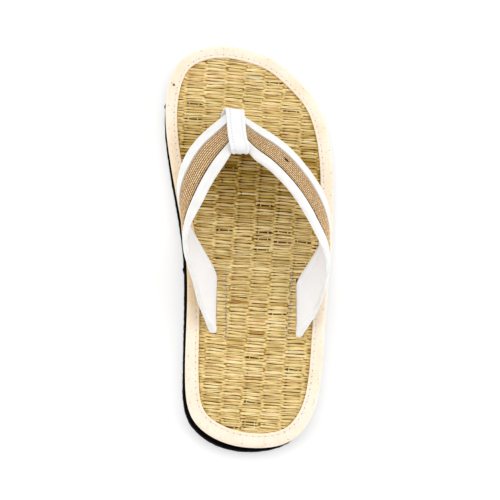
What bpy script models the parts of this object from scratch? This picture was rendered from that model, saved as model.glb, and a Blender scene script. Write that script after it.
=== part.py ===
"""Hotel slipper for the right foot: a flat thong slipper with a woven straw footbed.

A moulded black outsole carries a straw-faced insole, whose edge is bound in cream cloth. A padded white
V-shaped strap with a jute band along each limb rises from two slits in the insole, and a loop that comes up
between the toes holds its apex.

+Y is the toe, +X the outer (lateral) side and +Z up. The sole rests on z = 0. Sizes are in millimetres,
and MM turns them into Blender's metres.
"""

import math

import bmesh
import bpy
import numpy as np
from mathutils import Matrix, Vector

MM = 0.001

# Sole: heights are stacked from the floor, and each depends on y alone.
HEEL_THICKNESS = 10.0
BALL_THICKNESS = 7.5
WEDGE_START, WEDGE_END = -60.0, 50.0  # the outsole thins between these, from the heel to the ball
TOE_SPRING = 5.0
TOE_SPRING_START, TOE_TIP = 52.0, 139.2
INSOLE_THICKNESS = 4.6
GAP = 0.3  # left between pieces that touch on the real slipper

BINDING_WALL = 0.8
BINDING_LIFT = GAP + BINDING_WALL  # top of the binding over the footbed
BINDING_SWELL = 0.45  # how much more its middle stands up
BINDING_FOLD, BINDING_FOLD_SWELL = 1.2, 0.35  # width and lift of its folded inner edge
BINDING_UNDERLAP = 7.0  # how far the cloth is folded in under the insole

EDGE_CHAMFER, UNDER_CHAMFER = 1.0, 0.7  # of the insole, inside the binding
CORE_INSET = 1.0  # from the underlap's end to the insole's core, which rests on the outsole
SHARP_ANGLE = 40.0  # edges that bend more than this are shaded sharp, in degrees

RIBS = 44  # steps along each side, from the toe tip to the back of the heel
RIB_PLACES = (0.22, 0.5, 0.78)  # points across the sole, between its two sides

# Edge of the footbed, clockwise from the toe tip seen from above. "step" is how far the outsole stands
# out beyond the footbed there, and "binding" is the width of the cloth on top.
OUTLINE_COLUMNS = ("x", "y", "step", "binding")
OUTLINE = (
    # name, x, y, step, binding
    ("toe tip", -17.2, 139.2, -0.5, 8.6),
    ("second toe", 0.7, 136.2, -0.5, 8.6),
    ("outer toes", 17.9, 129.3, -0.5, 8.6),
    ("little toe", 34.4, 115.5, -0.5, 8.6),
    ("little toe side", 46.3, 101.7, -0.5, 8.8),
    ("little toe joint", 54.4, 80.9, -0.5, 9.0),
    ("ball, lateral", 57.8, 46.2, -0.5, 9.0),
    ("midfoot, lateral", 56.2, 4.6, -0.5, 9.0),
    ("waist, lateral", 51.0, -50.3, -0.5, 8.8),
    ("heel, lateral", 47.4, -90.8, -0.5, 8.6),
    ("heel corner, lateral", 42.8, -111.0, -0.4, 8.8),
    ("heel back, lateral", 27.9, -131.0, 0.3, 9.2),
    ("heel back", 3.0, -136.4, 2.4, 9.6),
    ("heel back, medial", -21.8, -131.2, 3.4, 10.0),
    ("heel corner, medial", -38.8, -117.5, 3.0, 9.5),
    ("heel, medial", -44.2, -90.8, 1.7, 9.0),
    ("waist, medial", -42.7, -36.6, 2.0, 8.5),
    ("shank, medial", -43.3, -9.1, 1.9, 8.1),
    ("arch, medial", -49.4, 32.5, 1.4, 7.7),
    ("ball, medial", -55.2, 67.2, 1.1, 7.5),
    ("big toe joint", -57.3, 91.0, 0.4, 7.9),
    ("big toe", -54.3, 115.5, -0.5, 8.5),
    ("big toe corner", -46.8, 129.3, -0.5, 8.6),
    ("big toe tip", -35.8, 136.2, -0.5, 8.6),
)
HEEL_BACK = 12  # the row that the two sides run to from the toe tip

# Side of the outsole from the tread up: how far out from its edge, and at what part of its thickness.
OUTSOLE_SIDE = (
    # name, out, part of the thickness
    ("tread edge", -1.3, 0.0),
    ("lower side", 0.0, 0.16),
    ("upper side", -0.2, 0.86),
    ("top edge", -0.9, 1.0),
)

# Strap: one band from the medial slit over the apex to the lateral slit. Each row is a line across it,
# from its front edge to its rear edge, with heights over the footbed. "crown" is how far the middle of
# the band bulges outwards, "fullness" scales its padding, and the jute lies between two parts of its width.
STRAP_MEDIAL = (
    # name, front x, y, h, rear x, y, h, crown, fullness, jute from, to
    ("foot", -23.2, -18.1, -4.3, -24.2, -58.4, -4.3, 0.0, 0.85, 0.27, 0.76),
    ("slit", -23.2, -18.1, 0.0, -24.2, -58.4, 0.0, 0.0, 0.85, 0.27, 0.76),
    ("rise", -23.8, -16.6, 1.9, -32.4, -46.4, 14.5, 1.0, 0.95, 0.27, 0.76),
    ("lean", -25.3, -13.4, 3.7, -37.0, -32.1, 25.0, 2.2, 1.0, 0.27, 0.76),
    ("rear of arch", -29.4, -6.5, 5.5, -41.1, -18.3, 32.5, 3.2, 1.0, 0.27, 0.76),
    ("upright", -40.4, 12.8, 9.5, -42.8, 4.9, 39.0, 3.6, 1.0, 0.27, 0.76),
    ("turn", -48.7, 32.9, 14.0, -34.7, 22.2, 38.0, 2.8, 1.0, 0.24, 0.755),
    ("instep", -46.9, 52.7, 15.0, -26.8, 37.8, 34.5, 1.8, 1.0, 0.27, 0.76),
    ("toes", -34.7, 73.2, 13.5, -18.1, 51.8, 29.5, 1.2, 1.0, 0.27, 0.74),
    ("neck", -19.7, 86.6, 12.5, -13.6, 59.4, 26.0, 1.0, 1.0, 0.28, 0.73),
)
STRAP_APEX = (("apex", -11.5, 90.9, 12.0, -7.4, 66.0, 24.0, 1.0, 1.0, 0.28, 0.71),)
STRAP_LATERAL = (
    ("neck", -1.6, 86.0, 12.5, -0.5, 59.4, 26.0, 1.0, 1.0, 0.28, 0.71),
    ("toes", 19.2, 72.4, 14.0, 8.5, 51.0, 29.0, 1.2, 1.0, 0.285, 0.745),
    ("instep", 37.5, 53.2, 15.5, 22.9, 36.0, 34.5, 1.4, 1.0, 0.285, 0.775),
    ("turn", 50.1, 32.9, 15.0, 33.4, 20.0, 38.0, 1.8, 1.0, 0.33, 0.78),
    ("upright", 52.7, 15.6, 12.5, 41.7, 4.2, 39.5, 2.6, 1.0, 0.34, 0.78),
    ("rear of arch", 45.8, -1.4, 8.0, 48.9, -14.3, 37.5, 3.4, 1.0, 0.33, 0.77),
    ("lean", 36.2, -16.6, 4.0, 46.9, -36.3, 26.0, 2.6, 1.0, 0.33, 0.77),
    ("rise", 33.4, -21.1, 1.9, 42.0, -48.8, 15.0, 1.5, 0.95, 0.33, 0.77),
    ("slit", 32.2, -23.6, 0.0, 31.9, -61.6, 0.0, 0.0, 0.85, 0.33, 0.77),
    ("foot", 32.2, -23.6, -4.3, 31.9, -61.6, -4.3, 0.0, 0.85, 0.33, 0.77),
)
STEPS_A_ROW = 3  # loft steps between two rows of the strap

# Section of the strap, clockwise from its front edge: place across it as a part of its width, and
# height out from its middle surface. The two white edges are padded rolls, with the jute's bed between.
# The bed's edges are moved to each row's own, and the rolls widen or narrow to suit.
JUTE_FRONT, JUTE_REAR = 0.25, 0.70
BED_THIRDS = (0.4, 0.55)
STRAP_SECTION = (
    # name, across, out
    ("front edge", 0.0, 0.0),
    ("front roll, outer", 0.035, 1.3),
    ("front roll, crest", 0.13, 1.9),
    ("front roll, inner", JUTE_FRONT - 0.015, 1.4),
    ("bed, front", JUTE_FRONT, 0.4),
    ("bed, front third", BED_THIRDS[0], 0.4),
    ("bed, rear third", BED_THIRDS[1], 0.4),
    ("bed, rear", JUTE_REAR, 0.4),
    ("rear roll, inner", JUTE_REAR + 0.015, 1.4),
    ("rear roll, crest", 0.84, 2.0),
    ("rear roll, outer", 0.965, 1.4),
    ("rear edge", 1.0, 0.0),
    ("rear roll, under", 0.965, -1.0),
    ("lining, rear", 0.84, -1.3),
    ("lining, rear third", 0.62, -1.0),
    ("lining, front third", 0.38, -1.0),
    ("lining, front", 0.14, -1.2),
    ("front roll, under", 0.035, -0.9),
)
JUTE_WALL = 0.6
JUTE_TOP = 1.5  # outer face of the jute over the strap's middle surface
JUTE_SIDE_GAP = 0.6

# Toe loop: the middle of the band, up from the footbed's hole, round the apex and down again. "turn" is
# how far its width is turned from +X, seen from above, in degrees.
LOOP_WALL = 1.6
LOOP_STEPS = 40
LOOP_STEPS_ACROSS = 3
LOOP = (
    # name, x, y, h, width, turn
    ("front foot", -12.9, 88.6, -4.3, 14.2, 0.0),
    ("front stem", -12.8, 88.9, 2.0, 14.2, 0.0),
    ("front neck", -12.0, 91.0, 7.5, 13.8, -5.0),
    ("front fold", -10.5, 92.7, 12.2, 13.2, -8.0),
    ("front top", -10.2, 90.8, 15.6, 12.8, -6.0),
    ("over the apex", -9.6, 79.0, 22.0, 12.6, -2.0),
    ("rear slope", -8.4, 68.0, 27.2, 12.4, 0.0),
    ("rear top", -7.3, 63.0, 28.2, 10.4, 0.0),
    ("rear fold", -7.2, 61.2, 25.2, 8.0, 0.0),
    ("rear under", -7.3, 63.8, 21.4, 7.6, 0.0),
    ("under the apex", -9.4, 74.0, 17.2, 12.4, 0.0),
    ("rear throat", -11.4, 84.0, 10.0, 13.4, 0.0),
    ("rear neck", -12.4, 86.9, 5.4, 13.9, 0.0),
    ("rear stem", -12.8, 86.8, 1.0, 14.2, 0.0),
    ("rear foot", -12.9, 86.7, -4.3, 14.2, 0.0),
)

# Holes through the insole
SLIT_WIDTH = 4.6
SLIT_SPARE = 1.6  # length beyond the strap at each end
TOE_HOLE = (17.5, 5.0)
CUTTER_HEIGHT = 16.0


def spline(knots, rows, closed=False):
    """Function of a place along the knots: the cubic spline through the rows, smooth all round if closed."""
    knots, rows = np.array(knots, float), np.array(rows, float)
    count = len(knots)
    step = np.diff(knots)
    slope = np.diff(rows, axis=0) / step[:, None]
    system, right = np.eye(count), np.zeros_like(rows)
    for i in range(1, count - 1):
        system[i, i - 1 : i + 2] = step[i - 1], 2 * (step[i - 1] + step[i]), step[i]
        right[i] = 6 * (slope[i] - slope[i - 1])
    if closed:
        system[0, [0, 1, -2]] = 2 * (step[0] + step[-1]), step[0], step[-1]
        right[0] = 6 * (slope[0] - slope[-1])
        system[-1, 0] = -1
    bend = np.linalg.solve(system, right)

    def at(place):
        i = min(max(int(np.searchsorted(knots, place, side="right")) - 1, 0), count - 2)
        before = (knots[i + 1] - place) / step[i]
        after = 1 - before
        straight = before * rows[i] + after * rows[i + 1]
        curl = (before**3 - before) * bend[i] + (after**3 - after) * bend[i + 1]
        return straight + curl * step[i] ** 2 / 6

    return at


def lengths_along(points):
    return np.concatenate([[0.0], np.cumsum(np.linalg.norm(np.diff(points, axis=0), axis=1))])


def ease(part):
    """0 to 1 with level ends."""
    part = min(max(part, 0.0), 1.0)
    return part * part * (3 - 2 * part)


def tread_height(y):
    """Underside of the outsole: flat from the heel to the ball, then rising to the toe."""
    part = max(0.0, (y - TOE_SPRING_START) / (TOE_TIP - TOE_SPRING_START))
    return TOE_SPRING * part * part


def outsole_thickness(y):
    thinned = ease((y - WEDGE_START) / (WEDGE_END - WEDGE_START))
    return HEEL_THICKNESS + (BALL_THICKNESS - HEEL_THICKNESS) * thinned


def outsole_top(y):
    return tread_height(y) + outsole_thickness(y)


def footbed(y):
    return outsole_top(y) + GAP + INSOLE_THICKNESS


def outline_rows():
    """The outline's columns at every rim point: down the lateral side to the heel, and up the medial side."""
    table = np.array([row[1:] for row in OUTLINE] + [OUTLINE[0][1:]])
    knots = lengths_along(table[:, :2])
    at = spline(knots, table, closed=True)
    down = np.linspace(0, knots[HEEL_BACK], RIBS + 1)
    up = np.linspace(knots[HEEL_BACK], knots[-1], RIBS + 1)
    return np.array([at(place) for place in np.concatenate([down[:-1], up[:-1]])])


RIM = outline_rows()
RIM_PLACES = RIM[:, :2]
RIM_STEP = RIM[:, OUTLINE_COLUMNS.index("step")]
RIM_BINDING = RIM[:, OUTLINE_COLUMNS.index("binding")]


def rim(out):
    """The outline moved outwards by a distance, or by one for each rim point."""
    along = np.roll(RIM_PLACES, -1, axis=0) - np.roll(RIM_PLACES, 1, axis=0)
    along /= np.linalg.norm(along, axis=1)[:, None]
    outwards = np.stack([-along[:, 1], along[:, 0]], axis=1)
    return RIM_PLACES + outwards * np.broadcast_to(out, len(RIM_PLACES))[:, None]


def ring_at(places, height):
    """Points over the places, each at the height that the function gives for its y."""
    return [(x, y, height(y)) for x, y in places]


def add_ring(bm, points):
    return [bm.verts.new(Vector(point) * MM) for point in points]


def join_rings(bm, first, second, closed=True):
    count = len(first)
    for i in range(count if closed else count - 1):
        j = (i + 1) % count
        bm.faces.new((first[i], first[j], second[j], second[i]))


def fill_ring(bm, ring, height):
    """Fills a rim-shaped ring with ribs from side to side, so that the face follows the sole's heights."""
    ribs = []
    for i in range(1, RIBS):
        lateral, medial = ring[i], ring[-i]
        middle = []
        for place in RIB_PLACES:
            x, y, _ = lateral.co.lerp(medial.co, place)
            middle.append(bm.verts.new((x, y, height(y / MM) * MM)))
        ribs.append([lateral, *middle, medial])
    for first, second in zip(ribs, ribs[1:]):
        join_rings(bm, first, second, closed=False)
    for end, rib in ((ring[0], ribs[0]), (ring[RIBS], ribs[-1])):
        for first, second in zip(rib, rib[1:]):
            bm.faces.new((end, first, second))


def object_from(bm, name, material, collection):
    bmesh.ops.recalc_face_normals(bm, faces=bm.faces)
    mesh = bpy.data.meshes.new(name)
    bm.to_mesh(mesh)
    bm.free()
    mesh.materials.append(material)
    mesh.shade_smooth()
    mesh.set_sharp_from_angle(angle=math.radians(SHARP_ANGLE))
    made = bpy.data.objects.new(name, mesh)
    collection.objects.link(made)
    return made


def slab(name, levels, material, collection):
    """A closed solid of the sole: levels are (outline, height function), from the bottom to the top."""
    bm = bmesh.new()
    rings = [add_ring(bm, ring_at(places, height)) for places, height in levels]
    for lower, upper in zip(rings, rings[1:]):
        join_rings(bm, lower, upper)
    fill_ring(bm, rings[0], levels[0][1])
    fill_ring(bm, rings[-1], levels[-1][1])
    return object_from(bm, name, material, collection)


def sheet(name, rows, wall, offset, material, collection, closed=False):
    """An open surface through rows of points, given its wall by Solidify."""
    bm = bmesh.new()
    lines = [add_ring(bm, row) for row in rows]
    for first, second in zip(lines, lines[1:]):
        join_rings(bm, first, second, closed)
    made = object_from(bm, name, material, collection)
    solidify = made.modifiers.new("Wall", "SOLIDIFY")
    solidify.thickness = wall * MM
    solidify.offset = offset
    solidify.use_even_offset = True
    return made


def make_outsole(material, collection):
    levels = []
    for _, out, part in OUTSOLE_SIDE:
        levels.append(
            (
                rim(RIM_STEP + out),
                lambda y, part=part: tread_height(y) + part * outsole_thickness(y),
            )
        )
    return slab("outsole", levels, material, collection)


def make_insole(material, collection):
    """Board faced with straw: its rim is raised, to leave room for the binding's underlap."""
    edge = -(BINDING_WALL + GAP)
    core = -(BINDING_UNDERLAP + CORE_INSET)
    rim_lift = BINDING_WALL + 2 * GAP
    levels = [
        (rim(core), lambda y: outsole_top(y) + GAP),
        (rim(core), lambda y: outsole_top(y) + rim_lift),
        (rim(edge - UNDER_CHAMFER), lambda y: outsole_top(y) + rim_lift),
        (rim(edge), lambda y: outsole_top(y) + rim_lift + UNDER_CHAMFER),
        (rim(edge), lambda y: footbed(y) - EDGE_CHAMFER),
        (rim(edge - EDGE_CHAMFER), footbed),
    ]
    return slab("insole", levels, material, collection)


def make_binding(material, collection):
    """Cream cloth in a C round the footbed's edge: its folded edge on top, the side, and the underlap."""

    def over(lift):
        return lambda y: footbed(y) + lift

    def under(lift):
        return lambda y: outsole_top(y) + lift

    profile = (
        # out from the footbed's edge, height
        (-RIM_BINDING, over(BINDING_LIFT)),
        (-RIM_BINDING + BINDING_FOLD, over(BINDING_LIFT + BINDING_FOLD_SWELL)),
        (-RIM_BINDING / 2, over(BINDING_LIFT + BINDING_SWELL)),
        (-1.5, over(BINDING_LIFT)),
        (-0.4, over(0.4)),
        (0.0, over(-0.7)),
        (0.0, under(GAP + 1.3)),
        (-0.5, under(GAP + 0.3)),
        (-1.4, under(GAP)),
        (-BINDING_UNDERLAP, under(GAP)),
    )
    rows = [ring_at(rim(out), height) for out, height in profile]
    return sheet("insole_binding", rows, BINDING_WALL, -1.0, material, collection, closed=True)


def strap_stations():
    """Places, front edge, rear edge, outward normal, crown and fullness along the whole strap."""
    rows = STRAP_MEDIAL + STRAP_APEX + STRAP_LATERAL
    table = np.array([row[1:] for row in rows])
    for edge in (0, 3):  # columns of the front edge's x and of the rear edge's
        table[:, edge + 2] += [footbed(y) for y in table[:, edge + 1]]
    middle = (table[:, 0:3] + table[:, 3:6]) / 2
    knots = lengths_along(middle)
    at = spline(knots, table)
    places = [knots[0]]
    for start, end in zip(knots, knots[1:]):
        places += list(np.linspace(start, end, STEPS_A_ROW + 1)[1:])
    rows = np.array([at(place) for place in places])
    front, rear, (crown, fullness), jute = rows[:, 0:3], rows[:, 3:6], rows[:, 6:8].T, rows[:, 8:10]
    along = np.gradient((front + rear) / 2, np.array(places), axis=0)
    normal = np.cross(along, rear - front)
    normal /= -np.linalg.norm(normal, axis=1)[:, None]
    return front, rear, normal, crown, fullness, jute


STRAP = strap_stations()
STRAP_APEX_STATION = len(STRAP_MEDIAL) * STEPS_A_ROW


def strap_point(station, across, out):
    """A point of the strap: across from its front edge (0) to its rear edge (1), out from its middle."""
    front, rear, normal, crown, fullness, jute = (column[station] for column in STRAP)
    across = np.interp(across, (0, JUTE_FRONT, JUTE_REAR, 1), (0, *jute, 1))
    bulge = crown * 4 * across * (1 - across)
    return front + (rear - front) * across + normal * (bulge + out * fullness)


def make_upper(material, collection):
    bm = bmesh.new()
    rings = []
    for station in range(len(STRAP[0])):
        points = [strap_point(station, across, out) for _, across, out in STRAP_SECTION]
        rings.append(add_ring(bm, points))
    for first, second in zip(rings, rings[1:]):
        join_rings(bm, first, second)
    bm.faces.new(rings[0])
    bm.faces.new(rings[-1])
    return object_from(bm, "upper", material, collection)


def make_jute_band(name, stations, material, collection):
    """Webbing laid in the strap's bed, between its two padded edges."""
    rows = []
    for station in stations:
        side = JUTE_SIDE_GAP / np.linalg.norm(STRAP[1][station] - STRAP[0][station])
        places = (JUTE_FRONT + side, *BED_THIRDS, JUTE_REAR - side)
        rows.append([strap_point(station, place, JUTE_TOP) for place in places])
    return sheet(name, rows, JUTE_WALL, -1.0, material, collection)


def loop_point(row, across):
    x, y, height, width, turn = row
    sideways = (across - 0.5) * width
    turn = math.radians(turn)
    place = (x + sideways * math.cos(turn), y + sideways * math.sin(turn))
    return (*place, footbed(y) + height)


def make_toe_loop(material, collection):
    table = np.array([row[1:] for row in LOOP])
    knots = lengths_along(table[:, :3])
    at = spline(knots, table)
    rows = []
    for place in np.linspace(0, knots[-1], LOOP_STEPS + 1):
        row = at(place)
        steps = range(LOOP_STEPS_ACROSS + 1)
        rows.append([loop_point(row, step / LOOP_STEPS_ACROSS) for step in steps])
    return sheet("toe_loop", rows, LOOP_WALL, 0.0, material, collection)


def cutter(name, centre, size, turn, collection):
    """A box that cuts a hole, with its length turned from +Y."""
    bm = bmesh.new()
    place = Matrix.Translation(Vector(centre) * MM) @ Matrix.Rotation(turn, 4, "Z")
    scale = Matrix.Diagonal((*(Vector(size) * MM), 1.0))
    bmesh.ops.create_cube(bm, size=1.0, matrix=place @ scale)
    mesh = bpy.data.meshes.new(name)
    bm.to_mesh(mesh)
    bm.free()
    made = bpy.data.objects.new(name, mesh)
    made.hide_render = True
    made.display_type = "WIRE"
    collection.objects.link(made)
    return made


def cut_holes(insole, cutters):
    """The two slits that the strap's ends go down through, and the hole of the toe loop."""
    holes = []
    for side, row in (("medial", STRAP_MEDIAL[0]), ("lateral", STRAP_LATERAL[-1])):
        front, rear = Vector(row[1:3]), Vector(row[4:6])
        middle = (front + rear) / 2
        centre = (*middle, footbed(middle.y))
        size = (SLIT_WIDTH, (front - rear).length + 2 * SLIT_SPARE, CUTTER_HEIGHT)
        turn = -math.atan2(front.x - rear.x, front.y - rear.y)
        holes.append(cutter(f"slit_{side}", centre, size, turn, cutters))
    front_foot, rear_foot = LOOP[0], LOOP[-1]
    x, y = front_foot[1], (front_foot[2] + rear_foot[2]) / 2
    size = (*TOE_HOLE, CUTTER_HEIGHT)
    holes.append(cutter("toe_hole", (x, y, footbed(y)), size, 0.0, cutters))
    for hole in holes:
        boolean = insole.modifiers.new(hole.name, "BOOLEAN")
        boolean.operation = "DIFFERENCE"
        boolean.object = hole


def new_material(name, colour, roughness):
    material = bpy.data.materials.new(name)
    material.use_nodes = True
    shader = material.node_tree.nodes["Principled BSDF"]
    shader.inputs["Base Color"].default_value = (*colour, 1.0)
    shader.inputs["Roughness"].default_value = roughness
    shader.inputs["Metallic"].default_value = 0.0
    return material


def new_collection(name):
    collection = bpy.data.collections.new(name)
    bpy.context.scene.collection.children.link(collection)
    return collection


def main():
    for old in list(bpy.data.objects):
        bpy.data.objects.remove(old, do_unlink=True)
    slipper = new_collection("hotel_slipper")
    cutters = new_collection("cutters")

    rubber = new_material("black_rubber", (0.012, 0.012, 0.013), 0.8)
    straw = new_material("sedge_straw", (0.68, 0.50, 0.21), 0.6)
    cloth = new_material("cream_cloth", (0.93, 0.84, 0.68), 0.85)
    padding = new_material("white_cloth", (0.9, 0.9, 0.92), 0.8)
    jute = new_material("jute_webbing", (0.5, 0.31, 0.16), 0.9)

    make_outsole(rubber, slipper)
    insole = make_insole(straw, slipper)
    cut_holes(insole, cutters)
    make_binding(cloth, slipper)
    make_upper(padding, slipper)
    last = len(STRAP[0]) - 1
    clear_of_slit = STEPS_A_ROW + 1
    make_jute_band("jute_band_medial", range(clear_of_slit, STRAP_APEX_STATION), jute, slipper)
    lateral_stations = range(STRAP_APEX_STATION + 1, last - clear_of_slit + 1)
    make_jute_band("jute_band_lateral", lateral_stations, jute, slipper)
    make_toe_loop(padding, slipper)


main()
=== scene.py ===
"""Looks of the hotel slipper: woven straw, cloth binding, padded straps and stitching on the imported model.

OUTLINE and STRAP repeat the part's own tables, because this script reads only the frame. The other tables
are its own. All are in millimetres, in the frame's axes: +Y to the toe, +X to the lateral side, +Z up, and
the floor at z = 0.
"""
import math
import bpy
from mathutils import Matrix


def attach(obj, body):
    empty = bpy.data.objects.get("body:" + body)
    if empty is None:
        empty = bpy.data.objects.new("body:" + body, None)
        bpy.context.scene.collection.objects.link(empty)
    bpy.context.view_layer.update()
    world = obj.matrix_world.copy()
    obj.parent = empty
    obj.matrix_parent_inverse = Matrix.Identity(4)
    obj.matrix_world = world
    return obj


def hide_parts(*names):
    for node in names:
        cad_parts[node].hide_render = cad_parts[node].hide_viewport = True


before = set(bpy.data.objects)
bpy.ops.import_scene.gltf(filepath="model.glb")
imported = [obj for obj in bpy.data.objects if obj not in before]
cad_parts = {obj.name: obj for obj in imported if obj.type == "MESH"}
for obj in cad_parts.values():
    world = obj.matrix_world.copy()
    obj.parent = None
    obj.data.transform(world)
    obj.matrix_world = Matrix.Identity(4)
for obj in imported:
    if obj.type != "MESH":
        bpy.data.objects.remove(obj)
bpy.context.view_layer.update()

from types import SimpleNamespace

import bmesh
import bpy
import numpy as np
from mathutils import Matrix, Vector

MM = 0.001
JOIN_WITHIN = 0.0005  # mm between points that become one

# Sole: heights are stacked from the floor, and each depends on y alone.
HEEL_THICKNESS, BALL_THICKNESS = 10.0, 7.5
WEDGE_START, WEDGE_END = -60.0, 50.0
TOE_SPRING, TOE_SPRING_START, TOE_TIP = 5.0, 52.0, 139.2
INSOLE_THICKNESS = 4.6
GAP = 0.3
BINDING_UNDERLAP = 7.0

# Edge of the footbed, clockwise from the toe tip seen from above
OUTLINE = (
    # x, y, how far the outsole stands out, width of the binding on top
    (-17.2, 139.2, -0.5, 8.6), (0.7, 136.2, -0.5, 8.6), (17.9, 129.3, -0.5, 8.6),
    (34.4, 115.5, -0.5, 8.6), (46.3, 101.7, -0.5, 8.8), (54.4, 80.9, -0.5, 9.0),
    (57.8, 46.2, -0.5, 9.0), (56.2, 4.6, -0.5, 9.0), (51.0, -50.3, -0.5, 8.8),
    (47.4, -90.8, -0.5, 8.6), (42.8, -111.0, -0.4, 8.8), (27.9, -131.0, 0.3, 9.2),
    (3.0, -136.4, 2.4, 9.6), (-21.8, -131.2, 3.4, 10.0), (-38.8, -117.5, 3.0, 9.5),
    (-44.2, -90.8, 1.7, 9.0), (-42.7, -36.6, 2.0, 8.5), (-43.3, -9.1, 1.9, 8.1),
    (-49.4, 32.5, 1.4, 7.7), (-55.2, 67.2, 1.1, 7.5), (-57.3, 91.0, 0.4, 7.9),
    (-54.3, 115.5, -0.5, 8.5), (-46.8, 129.3, -0.5, 8.6), (-35.8, 136.2, -0.5, 8.6),
)
HEEL_BACK = 12
RIBS = 220  # steps along each side of the fine outline

# Strap, from the medial slit over the apex to the lateral slit: a row for each line across it
STRAP = (
    # front x, y, h, rear x, y, h, crown, fullness, jute from, to
    (-23.2, -18.1, -4.3, -24.2, -58.4, -4.3, 0.0, 0.85, 0.27, 0.76),
    (-23.2, -18.1, 0.0, -24.2, -58.4, 0.0, 0.0, 0.85, 0.27, 0.76),
    (-23.8, -16.6, 1.9, -32.4, -46.4, 14.5, 1.0, 0.95, 0.27, 0.76),
    (-25.3, -13.4, 3.7, -37.0, -32.1, 25.0, 2.2, 1.0, 0.27, 0.76),
    (-29.4, -6.5, 5.5, -41.1, -18.3, 32.5, 3.2, 1.0, 0.27, 0.76),
    (-40.4, 12.8, 9.5, -42.8, 4.9, 39.0, 3.6, 1.0, 0.27, 0.76),
    (-48.7, 32.9, 14.0, -34.7, 22.2, 38.0, 2.8, 1.0, 0.24, 0.755),
    (-46.9, 52.7, 15.0, -26.8, 37.8, 34.5, 1.8, 1.0, 0.27, 0.76),
    (-34.7, 73.2, 13.5, -18.1, 51.8, 29.5, 1.2, 1.0, 0.27, 0.74),
    (-19.7, 86.6, 12.5, -13.6, 59.4, 26.0, 1.0, 1.0, 0.28, 0.73),
    (-11.5, 90.9, 12.0, -7.4, 66.0, 24.0, 1.0, 1.0, 0.28, 0.71),
    (-1.6, 86.0, 12.5, -0.5, 59.4, 26.0, 1.0, 1.0, 0.28, 0.71),
    (19.2, 72.4, 14.0, 8.5, 51.0, 29.0, 1.2, 1.0, 0.285, 0.745),
    (37.5, 53.2, 15.5, 22.9, 36.0, 34.5, 1.4, 1.0, 0.285, 0.775),
    (50.1, 32.9, 15.0, 33.4, 20.0, 38.0, 1.8, 1.0, 0.33, 0.78),
    (52.7, 15.6, 12.5, 41.7, 4.2, 39.5, 2.6, 1.0, 0.34, 0.78),
    (45.8, -1.4, 8.0, 48.9, -14.3, 37.5, 3.4, 1.0, 0.33, 0.77),
    (36.2, -16.6, 4.0, 46.9, -36.3, 26.0, 2.6, 1.0, 0.33, 0.77),
    (33.4, -21.1, 1.9, 42.0, -48.8, 15.0, 1.5, 0.95, 0.33, 0.77),
    (32.2, -23.6, 0.0, 31.9, -61.6, 0.0, 0.0, 0.85, 0.33, 0.77),
    (32.2, -23.6, -4.3, 31.9, -61.6, -4.3, 0.0, 0.85, 0.33, 0.77),
)
APEX_ROW, LAST_ROW = 10, len(STRAP) - 1
JUTE_FRONT, JUTE_REAR, JUTE_TOP = 0.25, 0.70, 1.5
SLIT_CLEAR, APEX_CLEAR = 4 / 3, 1 / 3  # rows of the strap that the jute leaves free
ROW_LENGTH, STRAP_WIDTH = 12, 26  # mm, roughly, for the unevenness of its cloth
STRAP_WAVES = ((0.07, 7.0, 61), (0.04, 2.6, 62))

# Section of the padded strap: place across it from its front edge, and height out
STRAP_SECTION = (
    # front roll
    (0.0, 0.0), (0.005, 0.7), (0.02, 1.22), (0.05, 1.56), (0.095, 1.72), (0.15, 1.76), (0.21, 1.76),
    (0.236, 1.7), (0.244, 1.5), (0.248, 1.1),
    # bed of the jute
    (JUTE_FRONT, 0.5), (0.27, 0.45), (0.40, 0.45), (0.55, 0.45), (0.68, 0.45), (JUTE_REAR, 0.5),
    # rear roll
    (0.706, 1.05), (0.722, 1.5), (0.76, 1.82), (0.82, 1.95), (0.9, 1.94), (0.955, 1.78), (0.985, 1.4),
    (0.999, 0.7), (1.0, -0.2), (0.992, -0.75), (0.97, -1.1), (0.935, -1.25), (0.895, -1.3), (0.872, -1.22),
    # lining, from its rear seam to its front one
    (0.862, -0.85), (0.852, -1.08), (0.82, -1.16), (0.70, -1.08), (0.50, -1.0), (0.30, -1.02),
    (0.18, -1.12), (0.155, -1.08), (0.147, -0.85),
    # back of the front roll
    (0.138, -1.08), (0.10, -1.15), (0.06, -1.05), (0.02, -0.6),
)
SEAM_DEPTH = 0.85  # the lining's two seams lie this far in, and no other point of the section does
STRAP_CREASES = (
    # row of the strap, across, half length along (rows), half width across, depth in mm
    (5.4, 0.86, 0.22, 0.16, -0.35), (6.2, 0.12, 0.2, 0.12, -0.25),
    (4.4, 0.6, 0.25, 0.4, 0.3), (3.3, 0.5, 0.2, 0.4, -0.25),
    (14.6, 0.86, 0.22, 0.16, -0.35), (15.4, 0.55, 0.25, 0.4, 0.3),
    (16.6, 0.45, 0.2, 0.4, -0.25), (9.25, 0.88, 0.35, 0.12, -1.2),
    (10.75, 0.88, 0.35, 0.12, -1.2),
)
# Changes near the strap's two ends: rows from the end, half length in rows, and where across it they grow
TIP_SWELL, SWELL = (1.45, 0.42, 0.72, 0.84), 0.6
TIP_PUCKER, PUCKER = (1.14, 0.13, 0.8, 1.0), 0.3
TIP_FLARE, FLARES = (1.3, 0.3, 0.62, 1.0), (1.7, 0.7)  # medial, lateral
TIP_REACH = 0.05  # how far the puckered edge reaches to the heel, by the strap's width

JUTE_CORDS, BEAT = 9, 2.1  # cords side by side, and mm of webbing to a beat
JUTE_CLEARANCE = 0.006  # between the webbing and each wall of its bed, by the strap's width
JUTE_FLAW = (12.5, 0.41, 0.088, 0.024)  # frayed spot: row, across, half length (rows), half width

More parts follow.
